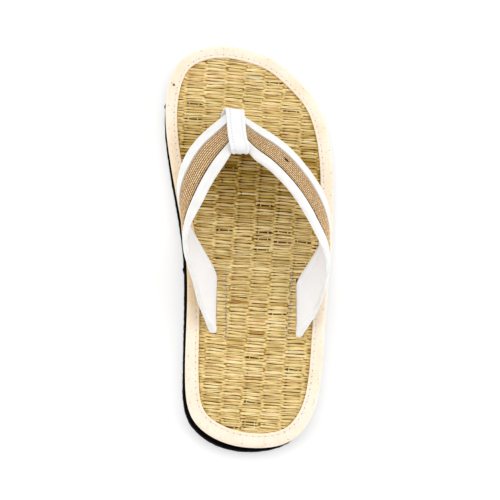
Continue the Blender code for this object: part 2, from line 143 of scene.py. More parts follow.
# Toe loop: the middle of the band, up from the footbed's hole, round the apex and down again
LOOP = (
    # x, y, h, width, turn of its width from +X in degrees
    (-12.9, 88.6, -4.3, 14.2, 0.0), (-12.8, 88.9, 2.0, 14.2, 0.0), (-12.0, 91.0, 7.5, 13.8, -5.0),
    (-10.5, 92.7, 12.2, 13.2, -8.0), (-10.2, 90.8, 15.6, 12.8, -6.0), (-9.6, 79.0, 22.0, 12.6, -2.0),
    (-8.4, 68.0, 27.4, 12.8, 0.0), (-7.4, 62.6, 28.9, 12.9, 0.0), (-7.2, 60.3, 26.6, 11.6, 0.0),
    (-7.3, 63.4, 21.4, 8.0, 0.0), (-9.4, 74.0, 17.2, 12.4, 0.0), (-11.4, 84.0, 10.0, 13.4, 0.0),
    (-12.4, 86.9, 5.4, 13.9, 0.0), (-12.8, 86.8, 1.0, 14.2, 0.0), (-12.9, 86.7, -4.3, 14.2, 0.0),
)
LOOP_WALL, TOE_HOLE = 1.6, (14.6, 4.2)
LOOP_SEAM, LOOP_HEM = -0.56, 0.66  # places of its stitched seam and its hem, from -1 to 1 across it
LOOP_CREASES = ((LOOP_SEAM, 0.07, 0.16), (0.05, 0.18, 0.08), (LOOP_HEM, 0.06, 0.14))  # place, width, depth
LOOP_FOLD, FOLD_REACH, FOLD_DEPTH = 8.0, 3.0, 0.45  # row of its rear fold, and the waves of its edge
LOOP_STITCHED, LOOP_STITCH = (3.6, 6.9), 2.3  # rows between which it is stitched, and the pitch

# Woven straw: the straws run across the footbed, and float over every other column of the weave
MAT_LEAN = 4.5  # degrees that the straws drop towards the lateral side
COLUMN, COLUMN_START, COLUMNS = 13.44, 1.75, range(-6, 7)
COLUMN_PLACES = np.array([0.0, 1.1, 2.2, 3.3, 6.72, 10.14, 11.24, 12.34])  # a straw's points in a column
STRAW_SECTION = np.array(  # across, up
    [(-1, -0.24), (-0.86, 0.06), (-0.45, 0.24), (0, 0.26), (0.45, 0.24), (0.86, 0.06), (1, -0.24)]
)
STRAW_PITCH, SHORTEST_STRAW = (0.72, 1.48), 1.0
MAT_MIDDLE, MAT_RISE = 0.48, 0.2  # height of a straw's middle over the footbed, and its rise and fall
MAT_TUCK = 1.3  # how far the straws reach in under the binding
WEAVE_SHARPNESS, FULL_FLOAT = 2.6, 0.6  # how suddenly a straw turns up, and the rise that counts as afloat
SWAY, SWAY_ALONG, SWAY_UP = 0.45, 17.0, 31.0  # slow wave of all straws, and its lengths over 2 pi
LINE_SPREAD, LINE_LIMITS = (1.3, 0.105), (0.03, 0.45)  # dark line between two floats: shape and scale
LINE_BELOW = 0.06  # half of the line between two straws that pass below
OPEN_LINE_SHARE, OPEN_LINE, OPEN_SINK = 0.045, 0.62, 0.22  # lines that stand open, and their sunk straws
NOTCH_PLACE, NOTCH_SIZE = 2.2, 0.9  # dark notches at the ends of the floats, beside a column's edges
NOTCH_BEFORE, NOTCH_AFTER = 0.19, 0.35  # how far a straw narrows there, before and after the edge
PASS_BELOW = 0.08  # how far it narrows on each side where it passes below its neighbours
OPENING = (
    # place up the mat, and how wide its lines and notches are there
    (-138.0, 0.9), (-60.0, 0.75), (-25.0, 0.65), (12.0, 1.05), (42.0, 1.5), (68.0, 1.55), (86.0, 0.65),
    (139.0, 0.42),
)
UNDER_V_SHADE_MIDDLE, UNDER_V_SHADE_REACH, UNDER_V_SHADE = 52.0, 26.0, 0.65  # painted shade on the straws under the strap's V, up to this much
PALE_FROM, PALE_TO, PALE = 15.0, 75.0, 0.1  # the straws turn paler between these, towards the toe
DARK_LINE, FAINT_LINE = 0.14, 0.4  # half width of a line with fully dark edges, and the least darkness
WARP_ASIDE = 3.2
WARP_HEIGHTS, WARP_RADII = (0.6, 0.12), (0.32, 0.2)  # of a thread in an open line, and elsewhere
SLIT_WIDTH, SLIT_SPARE, SLIT_OUT = 2.6, 1.2, 0.35  # openings round the strap's two ends
MAT_STITCH_ROWS = (
    # start x, y, end x, y, zigzag
    (-16.2, -12.0, -16.7, -64.0, 0.15), (-21.4, -22.4, -16.6, -22.9, 0.1),
    (28.6, -15.0, 24.4, -66.0, 0.7),
)
MAT_STITCH = 2.5

STITCH, STITCH_INSET = 4.3, 2.1  # length, and distance from the binding's inner edge
STITCH_ARCH = np.sin(np.linspace(0, math.pi, 7))  # height of the points along a stitch
OUTER_PINHOLES = (1.9, 15.5, 0.75)  # distance in from the edge, pitch, and share that is there
BINDING_PIT, PIT_RADIUS = (-51.6, 111.9), 0.8


def spline(knots, rows, closed=False):
    """The cubic spline through the rows, as a function of places along the knots."""
    count = len(knots)
    step = np.diff(knots)
    slope = np.diff(rows, axis=0) / step[:, None]
    system, right = np.eye(count), np.zeros_like(rows)
    for i in range(1, count - 1):
        system[i, i - 1 : i + 2] = step[i - 1], 2 * (step[i - 1] + step[i]), step[i]
        right[i] = 6 * (slope[i] - slope[i - 1])
    if closed:
        system[0, [0, 1, -2]] = 2 * (step[0] + step[-1]), step[0], step[-1]
        right[0] = 6 * (slope[0] - slope[-1])
        system[-1, 0] = -1
    bend = np.linalg.solve(system, right)

    def at(places):
        i = np.clip(np.searchsorted(knots, places, side="right") - 1, 0, count - 2)
        before = ((knots[i + 1] - places) / step[i])[:, None]
        after = 1 - before
        curl = (before**3 - before) * bend[i] + (after**3 - after) * bend[i + 1]
        return before * rows[i] + after * rows[i + 1] + curl * step[i][:, None] ** 2 / 6

    return at


def lengths_along(points):
    return np.concatenate([[0.0], np.cumsum(np.linalg.norm(np.diff(points, axis=0), axis=1))])


def ease(value, start=0.0, end=1.0):
    """A smooth step from 0 at start to 1 at end."""
    part = np.clip((value - start) / (end - start), 0.0, 1.0)
    return part * part * (3 - 2 * part)


def bell(values, middle, width):
    return np.exp(-(((values - middle) / width) ** 2))


def unit(vectors):
    return vectors / np.linalg.norm(vectors, axis=1)[:, None]


def between(places, knots, rows):
    """The rows at places along a line, from its rows at the knots."""
    return np.column_stack([np.interp(places, knots, column) for column in rows.T])


def pairs(first, second):
    """Two numbers for each point of a grid, from grids that broadcast together."""
    return np.stack(np.broadcast_arrays(first, second), axis=-1)


def tread_height(y):
    part = np.maximum(0.0, (y - TOE_SPRING_START) / (TOE_TIP - TOE_SPRING_START))
    return TOE_SPRING * part * part


def outsole_thickness(y):
    return HEEL_THICKNESS + (BALL_THICKNESS - HEEL_THICKNESS) * ease(y, WEDGE_START, WEDGE_END)


def sole_height(part):
    """Height of this part of the outsole's thickness, as a function of y."""
    return lambda y: tread_height(y) + part * outsole_thickness(y)


outsole_top = sole_height(1)


def footbed(y):
    return outsole_top(y) + GAP + INSOLE_THICKNESS


def fine_rim():
    table = np.array(OUTLINE + OUTLINE[:1])
    knots = lengths_along(table[:, :2])
    back = knots[HEEL_BACK]
    places = [np.linspace(0, back, RIBS, False), np.linspace(back, knots[-1], RIBS, False)]
    return spline(knots, table, closed=True)(np.concatenate(places))


RIM = fine_rim()
RIM_STEP, RIM_BINDING = RIM[:, 2], RIM[:, 3]


def rim(out):
    """The footbed's outline moved outwards."""
    places = RIM[:, :2]
    along = unit(np.roll(places, -1, axis=0) - np.roll(places, 1, axis=0))
    outwards = np.stack([-along[:, 1], along[:, 0]], axis=1)
    return places + outwards * np.broadcast_to(out, len(places))[:, None]


def ripple(places, size, seed):
    """Smooth unevenness, mostly within 1, over places of any dimension, in bumps of about this size."""
    draw = np.random.default_rng(seed)
    total = np.zeros(places.shape[:-1])
    for _ in range(7):
        direction = draw.normal(size=places.shape[-1])
        direction *= draw.uniform(0.7, 1.6) / np.linalg.norm(direction)
        total += np.sin(places @ direction * math.pi / size + draw.uniform(0, 2 * math.pi))
    return total / 4


def unevenness(places, waves):
    """Ripples of several sizes together. Each is a depth, a size and a seed."""
    return sum(depth * ripple(places, size, seed) for depth, size, seed in waves)


def grid_corners(numbers):
    """The four corners of each square of a grid of numbers."""
    corners = (numbers[:-1, :-1], numbers[:-1, 1:], numbers[1:, 1:], numbers[1:, :-1])
    return np.stack(corners, axis=-1).reshape(-1, 4)


class Mesh:
    """Points in mm, faces, places on the material and named values, joined from several grids."""

    def __init__(self):
        self.points, self.faces, self.places, self.values, self.count = [], [], [], {}, 0

    def add_grid(self, points, places=None, wrap=(False, False), caps=False, **values):
        """A grid of points. wrap closes it along its rows and columns, and caps fills its two ends."""
        rows, columns = points.shape[:2]
        numbers = self.count + np.arange(rows * columns).reshape(rows, columns)
        wrapped = np.pad(numbers, ((0, wrap[0]), (0, wrap[1])), mode="wrap")
        self.faces += grid_corners(wrapped).tolist()
        self.points.append(points.reshape(-1, 3))
        if places is None:
            places = np.zeros((*wrapped.shape, 2))
        spots = grid_corners(np.arange(wrapped.size).reshape(wrapped.shape))
        self.places.append(places.reshape(-1, 2)[spots.ravel()])
        for name, value in values.items():
            full = np.broadcast_to(value, (rows, columns)).reshape(-1)
            self.values.setdefault(name, []).append(full)
        if caps:
            for ring in (numbers[0][::-1], numbers[-1]):
                self.faces.append(ring.tolist())
                self.places.append(np.zeros((columns, 2)))
        self.count += rows * columns

    def add_rod(self, points, places=None, **values):
        """A grid of rings, closed round them and filled at both ends."""
        if places is not None:
            places = np.concatenate([places, places[:, :1]], axis=1)
        self.add_grid(points, places, wrap=(False, True), caps=True, **values)

    def finish(self, name, material, crease=None):
        """The piece, its faces outwards. Edges over crease degrees are sharp."""
        mesh = bpy.data.meshes.new(name)
        mesh.from_pydata((np.concatenate(self.points) * MM).tolist(), [], self.faces)
        layer = mesh.uv_layers.new(name="places")
        layer.data.foreach_set("uv", np.concatenate(self.places).astype(np.float32).ravel())
        for key, parts in self.values.items():
            attribute = mesh.attributes.new(key, "FLOAT", "POINT")
            attribute.data.foreach_set("value", np.concatenate(parts).astype(np.float32))
        outwards = bmesh.new()
        outwards.from_mesh(mesh)
        bmesh.ops.remove_doubles(outwards, verts=outwards.verts, dist=JOIN_WITHIN * MM)
        bmesh.ops.recalc_face_normals(outwards, faces=outwards.faces)
        outwards.to_mesh(mesh)
        outwards.free()
        mesh.shade_smooth()
        if crease:
            mesh.set_sharp_from_angle(angle=math.radians(crease))
        mesh.materials.append(material)
        mesh.update()
        piece = bpy.data.objects.new(name, mesh)
        bpy.context.scene.collection.objects.link(piece)
        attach(piece, "root")
        return piece


def tube(points, radius, sides=6):
    """A grid of rings round a line of points. The radius may differ along it."""
    along = unit(np.gradient(points, axis=0))
    sideways = unit(np.cross(along, (0.0, 0.0, 1.0)))
    upwards = np.cross(sideways, along)
    turns = np.arange(sides) * 2 * math.pi / sides
    radius = np.broadcast_to(radius, len(points))[:, None, None]
    round_it = np.cos(turns)[:, None] * sideways[:, None] + np.sin(turns)[:, None] * upwards[:, None]
    return points[:, None] + radius * round_it


# --- Finishes ---

WHITE = (255, 255, 255)


def srgb(*colour):
    """Linear colour of an sRGB one given in 0 to 255."""
    parts = [v / 255 for v in colour]
    linear = [p / 12.92 if p <= 0.04045 else ((p + 0.055) / 1.055) ** 2.4 for p in parts]
    return (*linear, 1.0)


class Finish:
    """A Principled material and short ways to add its nodes. Its methods return an output socket, except
    node, which returns the node, and use, which returns the material.
    """

    def __init__(self, name, roughness, **settings):
        self.material = bpy.data.materials.new(name)
        self.material.use_nodes = True
        self.tree = self.material.node_tree
        self.shader = self.tree.nodes["Principled BSDF"]
        self.shader.inputs["Roughness"].default_value = roughness
        for socket, value in settings.items():
            self.shader.inputs[socket.replace("_", " ")].default_value = value

    def node(self, kind, inputs=(), **settings):
        made = self.tree.nodes.new("ShaderNode" + kind)
        for key, value in settings.items():
            setattr(made, key, value)
        for socket, value in dict(inputs).items():
            if isinstance(value, bpy.types.NodeSocket):
                self.tree.links.new(value, made.inputs[socket])
            else:
                made.inputs[socket].default_value = value
        return made

    def places(self, scale=(1, 1, 1)):
        """Places on a grid piece in mm, scaled."""
        return self.scaled(self.node("UVMap", uv_map="places").outputs["UV"], scale)

    def solid(self, scale=(1, 1, 1)):
        """Places in space in mm, scaled."""
        return self.scaled(self.node("TexCoord").outputs["Object"], [s / MM for s in scale])

    def scaled(self, spots, scale):
        return self.node("Mapping", {"Vector": spots, "Scale": scale}).outputs["Vector"]

    def value(self, name):
        return self.node("Attribute", attribute_name=name).outputs["Fac"]

    def noise(self, spots, scale=1.0, detail=2.0, roughness=0.5):
        inputs = {"Vector": spots, "Scale": scale, "Detail": detail, "Roughness": roughness}
        return self.node("TexNoise", inputs).outputs["Fac"]

    def wave(self, spots, scale, direction, distortion):
        inputs = {"Vector": spots, "Scale": scale, "Distortion": distortion, "Detail": 1.0}
        return self.node("TexWave", inputs, bands_direction=direction).outputs["Fac"]

    def math(self, operation, first, second):
        return self.node("Math", {0: first, 1: second}, operation=operation).outputs[0]

    def span(self, value, low, high, new_low, new_high):
        inputs = {0: value, 1: low, 2: high, 3: new_low, 4: new_high}
        return self.node("MapRange", inputs).outputs[0]

    def ramp(self, value, *stops):
        """Colours over a value. A stop is its place, and red, green and blue in 0 to 255."""
        made = self.node("ValToRGB", {"Fac": value})
        elements = made.color_ramp.elements
        while len(elements) < len(stops):
            elements.new(0.5)
        for element, (place, *colour) in zip(elements, stops):
            element.position, element.color = place, srgb(*colour)
        return made.outputs["Color"]

    def blend(self, factor, first, second, kind="MULTIPLY"):
        inputs = {0: factor, 6: first, 7: second}
        return self.node("Mix", inputs, data_type="RGBA", blend_type=kind).outputs[2]

    def bump(self, height, depth, strength=1.0, below=None):
        """A bump of the given depth in mm, on top of another."""
        inputs = {"Height": height, "Distance": depth * MM, "Strength": strength}
        if below is not None:
            inputs["Normal"] = below
        return self.node("Bump", inputs).outputs["Normal"]

    def use(self, colour, normal, roughness=None):
        for socket, value in (("Base Color", colour), ("Normal", normal), ("Roughness", roughness)):
            if value is not None:
                self.tree.links.new(value, self.shader.inputs[socket])
        return self.material


def straw_finish():
    """Split sedge: fibres along each straw, and straws of different ripeness."""
    f = Finish("sedge_straw", 0.55, Specular_IOR_Level=0.1)
    fibres = f.noise(f.places((0.07, 1.1, 1)), 1.0, 4.0, 0.65)
    coarse = f.noise(f.places((0.035, 0.55, 1)))
    ripeness = f.math("ADD", f.value("tone"), f.span(coarse, 0.25, 0.75, -0.16, 0.16))
    colour = f.ramp(
        ripeness, (0.0, 201, 160, 92), (0.14, 224, 193, 124), (0.3, 232, 212, 154), (0.5, 247, 223, 162),
        (0.68, 248, 232, 184), (0.84, 245, 208, 149), (1.0, 248, 240, 206),
    )
    streaks = f.ramp(fibres, (0.36, 170, 140, 86), (0.5, 236, 226, 206), (0.6, *WHITE))
    crevice = f.ramp(
        f.value("shade"), (0.0, 84, 54, 0), (0.3, 142, 114, 16), (0.65, 206, 192, 118), (1.0, *WHITE)
    )
    colour = f.blend(0.95, f.blend(0.9, colour, streaks), crevice)
    return f.use(colour, f.bump(fibres, 0.12, 0.7), f.span(fibres, 0.3, 0.7, 0.68, 0.45))


def backing_shade_finish():
    """The insole's face under the straws, painted dark brown as the shade that shows between them."""
    f = Finish("mat_backing_shade", 0.9, Specular_IOR_Level=0.1)
    grain = f.noise(f.solid((0.3, 1.2, 0.3)), 1.0, 3.0)
    return f.use(f.ramp(grain, (0.3, 62, 38, 4), (0.7, 108, 74, 16)), f.bump(grain, 0.2))


def thread_finish(name, light, dark):
    """Twisted thread, with its twist as slanting ridges."""
    f = Finish(name, 0.75, Sheen_Weight=0.2)
    twist = f.wave(f.solid(), 1.1, "DIAGONAL", 1.0)
    return f.use(f.ramp(twist, (0.1, *dark), (0.6, *light)), f.bump(twist, 0.06, 0.6))


def binding_finish():
    """Cream bonded cloth: a fine nap with faint freckles, and painted shade, darker and yellower, along its
    medial side.
    """
    f = Finish("cream_cloth", 0.82, Sheen_Weight=0.12)
    spots = f.solid()
    cloud = f.noise(spots, 0.05, 3.0)
    nap = f.noise(spots, 1.4, 3.0, 0.65)
    freckle = f.noise(spots, 0.42)
    colour = f.ramp(cloud, (0.3, 250, 231, 206), (0.5, 253, 238, 217), (0.7, 254, 242, 226))
    colour = f.blend(0.4, colour, f.ramp(freckle, (0.30, 240, 226, 202), (0.42, *WHITE)))
    colour = f.blend(0.35, colour, f.ramp(nap, (0.35, 232, 222, 206), (0.6, *WHITE)))
    # painted shade: darker and yellower along the binding's medial side
    colour = f.blend(1.0, colour, f.ramp(f.value("worn"), (0.0, *WHITE), (1.0, 234, 220, 190)))
    return f.use(colour, f.bump(nap, 0.10, 0.6, f.bump(freckle, 0.15, 0.4)))


def padding_finish(name="white_cloth", tint=(245, 244, 241)):
    """White cloth of a fine plain weave with soft unevenness, painted shade in the gaps of its weave and in
    its stitched grooves, the smoother and whiter cloth behind it, and painted light on the strap's ends.
    """
    f = Finish(name, 0.8, Sheen_Weight=0.15)
    across, along = (f.wave(f.places(), 0.5, direction, 0.4) for direction in "XY")
    weave = f.math("MULTIPLY", across, along)
    cloud = f.noise(f.solid(), 0.12, 3.0)
    colour = f.ramp(cloud, (0.35, *[v - 6 for v in tint]), (0.65, *tint))
    # whiter inner cloth, and painted light: the strap's two ends take this whiter colour too
    colour = f.blend(f.value("lining"), colour, srgb(252, 252, 254), "MIX")
    # painted shade in the gaps of the weave
    colour = f.blend(0.8, colour, f.ramp(weave, (0.0, 238, 238, 240), (0.3, *WHITE)))
    # painted shade in the groove of the strap's rear seam, and in the loop's creases at its seam and hem
    colour = f.blend(1.0, colour, f.ramp(f.value("seam"), (0.0, *WHITE), (1.0, 196, 190, 186)))
    fuzz = f.noise(f.solid(), 2.2, 2.0, 0.7)
    return f.use(colour, f.bump(weave, 0.08, 0.8, f.bump(fuzz, 0.08, 0.7)))


def jute_finish():
    """Coarse jute: cords along the band, with painted shade in the valleys between them and along the band's
    edges.
    """
    f = Finish("jute_webbing", 0.85, Specular_IOR_Level=0.15, Sheen_Weight=0.03)
    fibres = f.noise(f.places((1.6, 0.5, 1)), 1.6, 3.0, 0.6)
    patches = f.noise(f.places((0.5, 0.12, 1)))
    height = f.math("ADD", f.value("rise"), f.span(fibres, 0.3, 0.7, -0.22, 0.22))
    # painted shade: the colour darkens where the webbing lies low
    colour = f.ramp(
        height, (0.0, 22, 14, 6), (0.12, 96, 66, 30), (0.36, 148, 114, 68), (0.6, 212, 178, 130),
        (0.82, 240, 212, 168), (1.0, 255, 240, 212),
    )
    warm = f.ramp(patches, (0.35, 240, 220, 204), (0.6, *WHITE))
    return f.use(f.blend(0.6, colour, warm), f.bump(fibres, 0.15, 0.8))


def foam_finish():
    """Black foam rubber with tiny pores and faint scuffs."""
    f = Finish("black_rubber", 0.85, Specular_IOR_Level=0.05)
    pores = f.node("TexVoronoi", {"Vector": f.solid(), "Scale": 1.6}).outputs["Distance"]
    grain = f.noise(f.solid(), 0.5, 4.0, 0.6)
    scuffs = f.ramp(grain, (0.45, 2, 1, 1), (0.8, 10, 8, 9))
    relief = f.bump(pores, 0.12, 0.6, f.bump(grain, 0.3, 0.5))
    return f.use(scuffs, relief, f.span(grain, 0.3, 0.8, 0.62, 0.9))


# --- Sole and footbed ---


def rim_ring(out, surface, lift=0.0):
    """Points round the outline moved outwards, at a lift over a surface."""
    places = rim(out)
    return np.column_stack([places, surface(places[:, 1]) + lift])


def bed_grid(ring, height, steps):
    """A grid across the sole, from the lateral side of a ring round it to the medial side."""
    lateral = ring[: RIBS + 1]
    medial = np.concatenate([ring[:1], ring[: RIBS - 1 : -1]])
    parts = np.linspace(0, 1, steps + 1)[None, :, None]
    grid = lateral[:, None] * (1 - parts) + medial[:, None] * parts
    grid[:, 1:-1, 2] = height(grid[:, 1:-1, 1])
    return grid


SOLE_SIDE = (
    # out from its edge, part of its thickness
    (-1.6, 0.0), (-1.1, 0.02), (-0.5, 0.06), (-0.12, 0.12), (0.0, 0.22),
    (0.0, 0.4), (-0.08, 0.6), (-0.2, 0.8), (-0.35, 0.92), (-0.8, 1.0),
)
SOLE_NUBS, NUB, NUB_RADIUS = ((-57.3, 99.5), (-45.3, -14.7)), 1.6, 0.9  # small leftovers from cutting
SOLE_WAVES = ((0.16, 3.0, 11), (0.1, 1.1, 12))
NICK, NICK_FROM, NICK_SPAN = 0.5, 0.92, 0.3  # depth at a span past the unevenness where a nick starts


def make_outsole():
    """Foam sole with a rounded tread edge and a cut side, slightly rough and nicked."""
    rings = []
    for out, part in SOLE_SIDE:
        ring = rim_ring(RIM_STEP + out, sole_height(part))
        if 0 < part < 1:
            rough = unevenness(ring, SOLE_WAVES)
            change = -NICK * np.maximum(0, ripple(ring[:, :2], 7.0, 13) - NICK_FROM) / NICK_SPAN
            for x, y in SOLE_NUBS:
                change += NUB * bell(np.hypot(ring[:, 0] - x, ring[:, 1] - y), 0, NUB_RADIUS)
            ring = rim_ring(RIM_STEP + out + rough + change, sole_height(part))
        rings.append(ring)
    mesh = Mesh()
    mesh.add_grid(np.array(rings), wrap=(False, True))
    mesh.add_grid(bed_grid(rings[0], tread_height, 24))
    mesh.add_grid(bed_grid(rings[-1], outsole_top, 8)[:, ::-1])
    sole = mesh.finish("foam_outsole", foam_finish())
    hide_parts("outsole")


# Section of the binding, from its inner edge over the side to its end under the insole, and back inside:
# the surface that heights are over, and then part of its width on top, further out, and height
BINDING_SECTION = (
    (footbed, (
        (1, 0.1, 0.72), (1, -0.02, 0.95), (1, 0.02, 1.25), (1, 0.25, 1.55), (1, 0.7, 1.72), (1, 1.2, 1.7),
        (1, 1.7, 1.52), (1, STITCH_INSET, 1.4), (1, 2.6, 1.52), (1, 3.4, 1.62), (0.5, 0, 1.62),
        (0.35, 0, 1.5), (0, -2.0, 1.25), (0, -1.2, 0.95), (0, -0.6, 0.5), (0, -0.18, -0.1), (0, 0, -0.8),
        (0, 0, -1.8),
    )),
    (outsole_top, (
        (0, 0, GAP + 1.3), (0, -0.18, GAP + 0.6), (0, -0.6, GAP + 0.15), (0, -1.4, GAP), (0, -4.0, GAP),
        (0, -BINDING_UNDERLAP, GAP), (0, -BINDING_UNDERLAP, GAP + 0.7), (0, -1.8, GAP + 0.7),
        (0, -0.8, GAP + 1.6),
    )),
    (footbed, (
        (0, -0.8, -1.2), (0, -1.6, 0.1), (0.4, 0, 0.6), (0.7, 0, 0.65), (1, 0.9, 0.66), (1, 0.3, 0.62),
    )),
)
UNEVEN = range(3, 18)  # rows of the section on top and outside, whose cloth is slightly uneven
BINDING_WAVES = ((0.09, 9.0, 21), (0.04, 3.2, 22))
BINDING_SHADE_HEEL, BINDING_SHADE_TOE = (-58, -28), (95, 35)  # y where the painted shade on the medial side starts and is full, from both ends


def make_binding():
    section = [(surface, *row) for surface, rows in BINDING_SECTION for row in rows]
    rings = [rim_ring(out - part * RIM_BINDING, surface, lift) for surface, part, out, lift in section]
    for i in UNEVEN:
        rings[i][:, 2] += unevenness(rings[i], BINDING_WAVES)
    grid = np.array(rings)
    x, y = grid[..., 0], grid[..., 1]
    # painted shade along the binding's medial side, fading out towards heel and toe
    worn = ease(y, *BINDING_SHADE_HEEL) * ease(y, *BINDING_SHADE_TOE) * ease(-x / 20)
    worn *= 0.8 + 0.2 * ripple(grid, 14.0, 23)
    mesh = Mesh()
    mesh.add_grid(grid, wrap=(True, True), worn=np.clip(worn, 0, 1))
    binding = mesh.finish("cloth_binding", binding_finish())
    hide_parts("insole_binding")


def path_round(out, lift, step):
    """Points about a step apart round the footbed, at a distance out from its edge."""
    ring = rim_ring(out, footbed, lift)
    ring = np.concatenate([ring, ring[:1]])
    length = lengths_along(ring)
    count = int(length[-1] / step)
    places = np.arange(count) * length[-1] / count
    return between(places, length, ring)


def stitch_line(start, end, tuck):
    """Points of a stitch, from just inside one end to just inside the other."""
    parts = np.linspace(tuck, 1 - tuck, len(STITCH_ARCH))[:, None]
    return start * (1 - parts) + end * parts


def make_binding_stitches(thread, hole, dark):
    """Stitches inside the binding's folded edge, pinholes, and the pit by the big toe."""
    draw = np.random.default_rng(31)
    ends = path_round(-RIM_BINDING + STITCH_INSET, 1.45, STITCH)
    threads, holes, pit = Mesh(), Mesh(), Mesh()
    for start, end in zip(ends, np.roll(ends, -1, axis=0)):
        line = stitch_line(start, end, 0.12)
        line[:, 2] += 0.22 * STITCH_ARCH - 0.2
        threads.add_rod(tube(line, 0.2))
        add_pinhole(holes, start, 0.26 + 0.12 * draw.random(), 0.02)
    inset, pitch, share = OUTER_PINHOLES
    for place in path_round(-inset + 0.3 * ripple(rim(0), 20.0, 32), 1.3, pitch):
        if draw.random() < share:
            add_pinhole(holes, place, 0.24 + 0.12 * draw.random(), 0.0)
    x, y = BINDING_PIT
    add_pinhole(pit, np.array([x, y, footbed(y) + 1.58]), PIT_RADIUS, 0.04)
    threads.finish("binding_stitches", thread)
    holes.finish("binding_pinholes", hole)
    pit.finish("binding_pit", dark)


def add_pinhole(mesh, centre, radius, lift):
    """A small dark dimple: a low bowl whose rim lies on the cloth."""
    turns = np.arange(8) * math.pi / 4
    rings = []
    for part, drop in ((1.0, 0.0), (0.75, -0.06), (0.25, -0.1)):
        circle = np.column_stack([np.cos(turns), np.sin(turns), np.zeros(8)]) * radius * part
        rings.append(centre + circle + (0, 0, 0.16 + lift + drop))
    mesh.add_rod(np.array(rings))


# --- Woven straw ---


def turned(angle):
    """The axes of a sheet that is turned clockwise by an angle in radians."""
    return np.array([[math.cos(angle), -math.sin(angle)], [math.sin(angle), math.cos(angle)]])


MAT_AXES = turned(math.radians(MAT_LEAN))


def from_mat(along, up, height):
    """Points over the footbed from places on the mat: along its straws and up its columns."""
    flat = along[..., None] * MAT_AXES[0] + up[..., None] * MAT_AXES[1]
    return np.concatenate([flat, (footbed(flat[..., 1]) + height)[..., None]], axis=-1)


def box_loop(centre, size, turn=0.0):
    """Corners of a rectangle, its length along y turned clockwise."""
    half = np.array([(-1, -1), (1, -1), (1, 1), (-1, 1)]) * np.array(size) / 2
    return half @ turned(turn) + np.array(centre)


def mat_loops():
    """On the mat's axes, the straws' outer edge, and the holes of the strap's ends and the loop."""
    loops = [rim(-RIM_BINDING + MAT_TUCK)]
    for row, outwards in ((STRAP[1], -1), (STRAP[-2], 1)):
        front, rear = np.array(row[:2]), np.array(row[3:5])
        size = (SLIT_WIDTH, np.linalg.norm(front - rear) + SLIT_SPARE)
        turn = math.atan2(front[0] - rear[0], front[1] - rear[1])
        loops.append(box_loop((front + rear) / 2 + (SLIT_OUT * outwards, 0), size, turn))
    x, y = LOOP[0][0], (LOOP[0][1] + LOOP[-1][1]) / 2
    loops.append(box_loop((x, y), TOE_HOLE))
    return [loop @ MAT_AXES.T for loop in loops]


def spans(loops, level, axis=1):
    """Where a line at a level of the axis is inside the first loop and outside the others."""
    found = []
    for loop in loops:
        after = np.roll(loop, -1, axis=0)
        hit = (loop[:, axis] > level) != (after[:, axis] > level)
        part = (level - loop[hit, axis]) / (after[hit, axis] - loop[hit, axis])
        found += list(loop[hit, 1 - axis] + part * (after[hit, 1 - axis] - loop[hit, 1 - axis]))
    found.sort()
    return list(zip(found[::2], found[1::2]))


def weave(along):
    """Signed place in the weave, from -1 to 1: straws of one parity float where it is positive."""
    return np.sin(math.pi * (along - COLUMN_START) / COLUMN)


def notches(along):
    """How far a straw narrows at places along it, beside the edges of the columns."""
    aside = (along - COLUMN_START + COLUMN / 2) % COLUMN - COLUMN / 2
    return np.where(aside < 0, NOTCH_BEFORE, NOTCH_AFTER) * bell(np.abs(aside), NOTCH_PLACE, NOTCH_SIZE)


def column_of(along):
    """Which of COLUMNS a place along a straw is in."""
    column = np.floor((along - COLUMN_START) / COLUMN).astype(int) - COLUMNS[0]
    return np.clip(column, 0, len(COLUMNS) - 1)


def sway(along, up):
    return SWAY * np.sin(along / SWAY_ALONG + up / SWAY_UP)


def straw_levels(loops):
    """Middle of each straw up the mat, in straws of different widths."""
    draw = np.random.default_rng(5)
    low, high = loops[0][:, 1].min(), loops[0][:, 1].max()
    steps = draw.uniform(*STRAW_PITCH, size=int((high - low) / min(STRAW_PITCH)))
    levels = low + np.cumsum(steps)
    return levels[levels < high - 0.4]


def straw_variety(levels):
    """How the straws differ from each other, and how each differs from column to column."""
    draw = np.random.default_rng(6)
    count, columns = len(levels), len(COLUMNS)
    size = (count, columns)
    lines = np.clip(draw.gamma(*LINE_SPREAD, (count + 2, columns)), *LINE_LIMITS)
    open_line = draw.random(lines.shape) < OPEN_LINE_SHARE
    opening = np.interp(levels, *np.array(OPENING).T)
    # painted shade on the straws under the strap's V, more on some floats than others
    worn = bell(levels, UNDER_V_SHADE_MIDDLE, UNDER_V_SHADE_REACH)[:, None] * UNDER_V_SHADE
    return SimpleNamespace(
        open_line=open_line,
        lines=lines * np.pad(opening, 1, mode="edge")[:, None] + OPEN_LINE * open_line,
        tone=np.clip(draw.normal(0.47, 0.1, count), 0.02, 0.98),
        lift=draw.uniform(-0.05, 0.07, count),
        float_tone=draw.normal(0, 0.12, size),
        tilt=draw.normal(0, 0.10, size),
        notch=opening[:, None] * draw.uniform(0.4, 1.5, size),
        groove=draw.uniform(0.0, 0.16, size) * (draw.random(size) < 0.6),
        dive=draw.normal(0, 0.7, (count, columns + 1)),
        worn=worn * draw.random(size) ** 1.5,
    )


